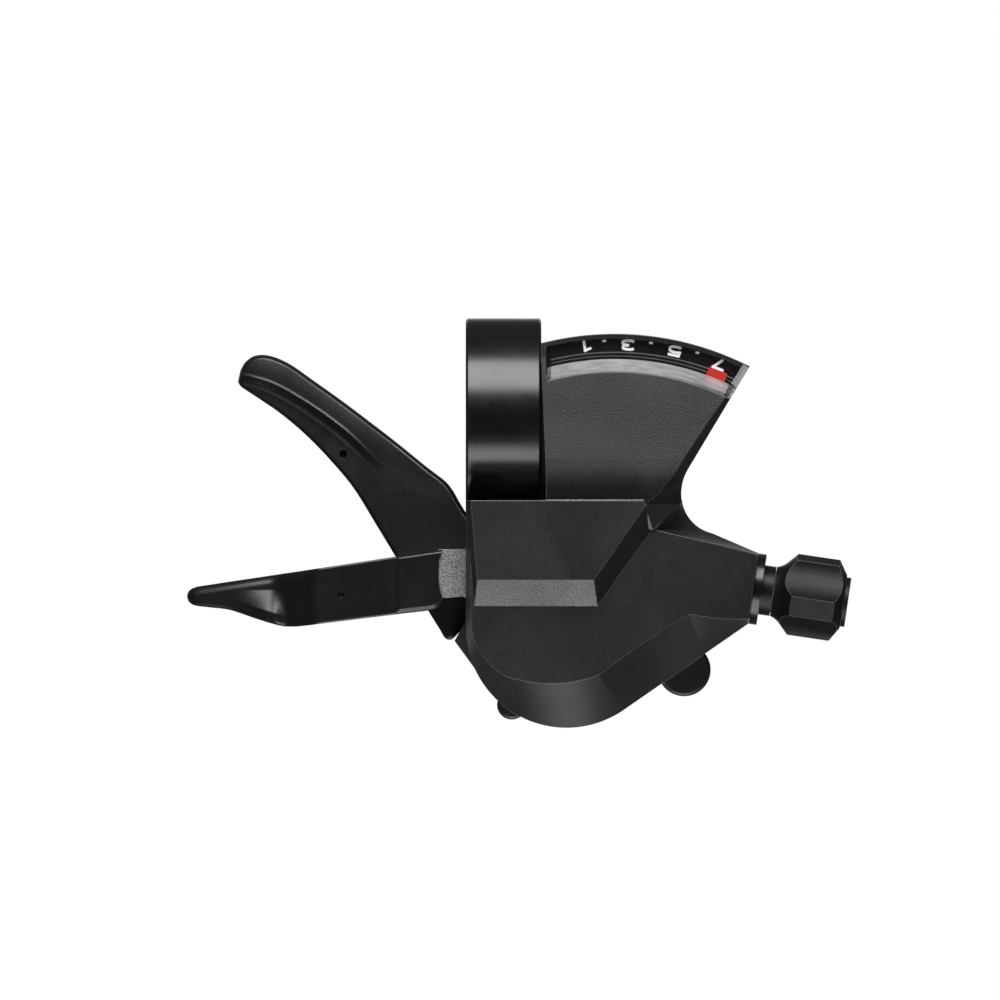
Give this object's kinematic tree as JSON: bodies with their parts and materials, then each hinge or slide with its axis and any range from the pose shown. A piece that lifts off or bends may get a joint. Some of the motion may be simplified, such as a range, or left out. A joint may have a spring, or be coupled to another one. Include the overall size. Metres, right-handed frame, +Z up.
{
  "type": "trigger gear shifter",
  "caption": "Right-hand handlebar trigger shifter: split clamp band, charcoal pod with curved gear window and red pointer, thumb and release levers, and a faceted cable adjuster.",
  "frame": {"origin": "centre of the handlebar clamp's bore", "axes": "+X along the bar towards the cable outlet, +Y towards the rider, +Z up through the gear window"},
  "size_m": [0.095, 0.0585, 0.0412],
  "materials": {
    "band": "gloss black paint",
    "cover": "fine-grained charcoal moulding",
    "cover_base": "matt black moulding",
    "lever": "satin black moulding",
    "adjuster": "satin black moulding",
    "zinc": "bare die-cast grey",
    "steel": "plated steel",
    "steel_dark": "black-oxide steel",
    "spring_steel": "spring wire",
    "drum": "natural acetal",
    "dial": "matt black",
    "lens": "clear polycarbonate",
    "pointer": "signal red moulding"
  },
  "bodies": {
    "housing": {"clamp_bracket": "band", "clamp_bolt": "steel_dark", "clamp_nut": "steel_dark", "top_cover": "cover", "bottom_cover": "cover_base", "cover_screws": "steel_dark", "bracket_screw": "steel_dark", "display_base": "cover_base", "dial_plate": "dial", "display_lens": "lens", "needle_pin": "steel", "main_axle": "steel", "lever_washer": "steel", "axle_washer": "steel", "axle_nut": "steel", "holding_pawl_pin": "steel", "holding_pawl_spring": "spring_steel", "thumb_lever_spring": "spring_steel", "release_washer": "drum", "release_spring": "spring_steel", "release_spring_pin": "steel", "cable_port_plug": "cover_base", "outlet_bush": "band", "adjuster_spring": "spring_steel"},
    "thumb_lever_body": {"thumb_lever": "lever", "thumb_lever_plate": "steel", "drive_pawl_pin": "steel", "drive_pawl_spring": "spring_steel"},
    "drive_pawl_body": {"drive_pawl": "steel"},
    "release_lever_body": {"release_lever_cap": "lever", "release_lever_core": "zinc"},
    "drum_body": {"cable_drum": "drum", "ratchet_plate": "steel", "drum_rivets": "steel", "drum_spring": "spring_steel"},
    "needle_body": {"indicator_needle": "pointer"},
    "holding_pawl_body": {"holding_pawl": "steel"},
    "collar_body": {"detent_collar": "adjuster"},
    "knob_body": {"adjuster_bolt": "steel_dark", "adjuster_knob": "adjuster"}
  },
  "joints": [
    {"name": "thumb_lever_hinge", "type": "hinge", "parent": "housing", "child": "thumb_lever_body", "pos_m": [0.009, -0.03, 0], "axis": [0, 0, 1], "range_deg": [0, 54], "stiffness_Nm_per_rad": 0.06, "springref_deg": -17.19},
    {"name": "drive_pawl_hinge", "type": "hinge", "parent": "thumb_lever_body", "child": "drive_pawl_body", "pos_m": [-0.00146, -0.02908, 0], "axis": [0, 0, 1], "range_deg": [0, 16]},
    {"name": "release_lever_hinge", "type": "hinge", "parent": "housing", "child": "release_lever_body", "pos_m": [0.009, -0.03, 0], "axis": [0, 0, 1], "range_deg": [-12, 0], "stiffness_Nm_per_rad": 0.06, "springref_deg": 17.19},
    {"name": "drum_spin", "type": "hinge", "parent": "housing", "child": "drum_body", "pos_m": [0.009, -0.03, 0], "axis": [0, 0, 1], "range_deg": [0, 108], "stiffness_Nm_per_rad": 0.01, "springref_deg": -28.65},
    {"name": "needle_swing", "type": "hinge", "parent": "housing", "child": "needle_body", "pos_m": [0.0159, -0.0304, 0], "axis": [0, 0, 1], "range_deg": [0, 28.2]},
    {"name": "holding_pawl_hinge", "type": "hinge", "parent": "housing", "child": "holding_pawl_body", "pos_m": [0.0211, -0.03159, 0], "axis": [0, 0, 1], "range_deg": [0, 14]},
    {"name": "adjuster_travel", "type": "slide", "parent": "housing", "child": "collar_body", "axis": [0.9893, -0.1461, 0], "range_m": [0, 0.00281]},
    {"name": "adjuster_turn", "type": "hinge", "parent": "collar_body", "child": "knob_body", "pos_m": [0.0357, -0.0245, 0.0044], "axis": [0.9893, -0.1461, 0], "range_deg": [0, 1440]}
  ],
  "couplings": [
    {"joint": "needle_swing", "follows": "drum_spin", "ratio": 0.25926},
    {"joint": "adjuster_travel", "follows": "adjuster_turn", "m_per_rad": 0.00011141}
  ]
}
